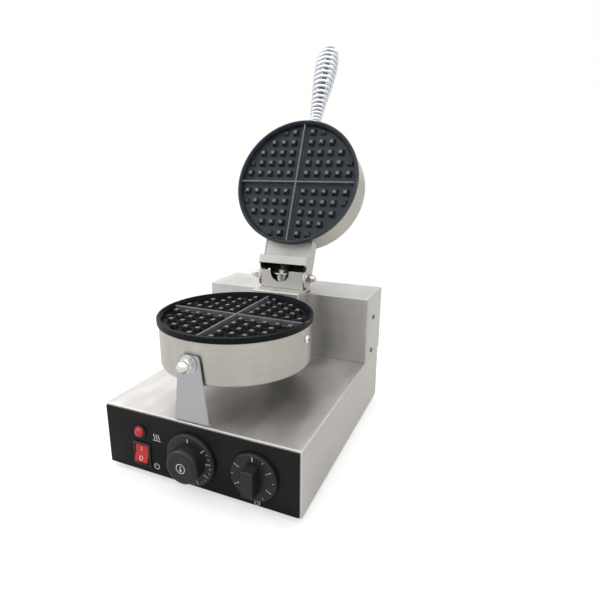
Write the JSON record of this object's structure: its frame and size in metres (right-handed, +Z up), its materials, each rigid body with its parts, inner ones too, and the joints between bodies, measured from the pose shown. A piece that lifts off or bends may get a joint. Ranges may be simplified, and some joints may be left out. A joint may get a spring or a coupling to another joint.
{
  "type": "waffle baker",
  "caption": "Round four-quadrant waffle baker: studded plate pan on a stainless counter base, hinged lid with coiled grip, dials and rocker switch on the front.",
  "frame": {"origin": "on the surface the feet stand on, under the middle of the bounding box with the lid open", "axes": "+Z up, -Y is the front panel, +X is to the right seen from the front; the lid hinge runs along X"},
  "size_m": [0.25, 0.4455, 0.536],
  "materials": {
    "steel": "brushed stainless sheet, warm light grey",
    "bracket_steel": "matt bluish-grey plated sheet",
    "chrome": "bright chrome plating",
    "zinc": "zinc-plated steel fasteners",
    "element": "heater sheath steel",
    "plate_coating": "cast aluminium under a black non-stick coating",
    "fascia": "black printed panel, satin gloss",
    "black_plastic": "moulded black phenolic",
    "black_paint": "black paint",
    "sleeve": "braided insulating sleeve",
    "rubber": "moulded rubber",
    "red_plastic": "translucent red rocker",
    "red_lens": "clear red lens",
    "brass": "brass sensing bulb",
    "insulation": "pressed insulating board",
    "terminal": "glazed steatite terminal block",
    "nylon": "natural nylon washers"
  },
  "bodies": {
    "base": {"base_shell": "steel", "base_bottom_plate": "steel", "rear_housing": "steel", "rear_cover": "steel", "hinge_pedestal": "steel", "pan_casing": "steel", "hinge_bracket": "bracket_steel", "front_bracket": "bracket_steel", "rear_bracket": "bracket_steel", "front_nut": "chrome", "rear_nut": "chrome", "pivot_nut_left": "chrome", "pivot_nut_right": "chrome", "front_bolt": "zinc", "rear_bolt": "zinc", "front_spacer": "zinc", "front_washer": "zinc", "pivot_bolt_left": "zinc", "pivot_bolt_right": "zinc", "pivot_washer_left": "zinc", "pivot_washer_right": "zinc", "pan_screw_left": "zinc", "pan_screw_right": "zinc", "lead_bushing": "zinc", "pan_conduit": "zinc", "lower_element": "element", "lower_plate": "plate_coating", "fascia_panel": "fascia", "thermostat_body": "black_plastic", "timer_body": "black_plastic", "switch_body": "black_plastic", "lamp_body": "black_plastic", "cable_gland": "black_plastic", "foot_front_left": "rubber", "foot_front_right": "rubber", "foot_rear_left": "rubber", "foot_rear_right": "rubber", "lamp_lens": "red_lens", "thermostat_bulb": "brass", "lower_insulation": "insulation", "terminal_block": "terminal", "pivot_spacer_left": "nylon", "pivot_spacer_right": "nylon"},
    "lid": {"lid_casing": "steel", "upper_plate": "plate_coating", "upper_element": "element", "upper_insulation": "insulation", "lid_arm": "steel", "arm_rear_cover": "black_paint", "lead_sleeve": "sleeve", "handle_rod": "zinc", "handle_collar": "chrome", "handle_coil": "chrome", "handle_cap": "chrome"},
    "thermostat_dial": {"thermostat_shaft": "zinc", "thermostat_knob": "black_plastic"},
    "timer_dial": {"timer_shaft": "zinc", "timer_knob": "black_plastic"},
    "rocker": {"switch_rocker": "red_plastic"}
  },
  "joints": [
    {"name": "lid_hinge", "type": "hinge", "parent": "base", "child": "lid", "pos_m": [0, 0.03179, 0.1996], "axis": [1, 0, 0], "range_deg": [0, 113]},
    {"name": "thermostat_turn", "type": "hinge", "parent": "base", "child": "thermostat_dial", "pos_m": [-0.0055, -0.19991, 0.0415], "axis": [0, 1, 0], "range_deg": [0, 270]},
    {"name": "timer_turn", "type": "hinge", "parent": "base", "child": "timer_dial", "pos_m": [0.0725, -0.19991, 0.0425], "axis": [0, 1, 0], "range_deg": [0, 300]},
    {"name": "rocker_tilt", "type": "hinge", "parent": "base", "child": "rocker", "pos_m": [-0.0745, -0.19641, 0.029], "axis": [1, 0, 0], "range_deg": [0, 22]}
  ]
}
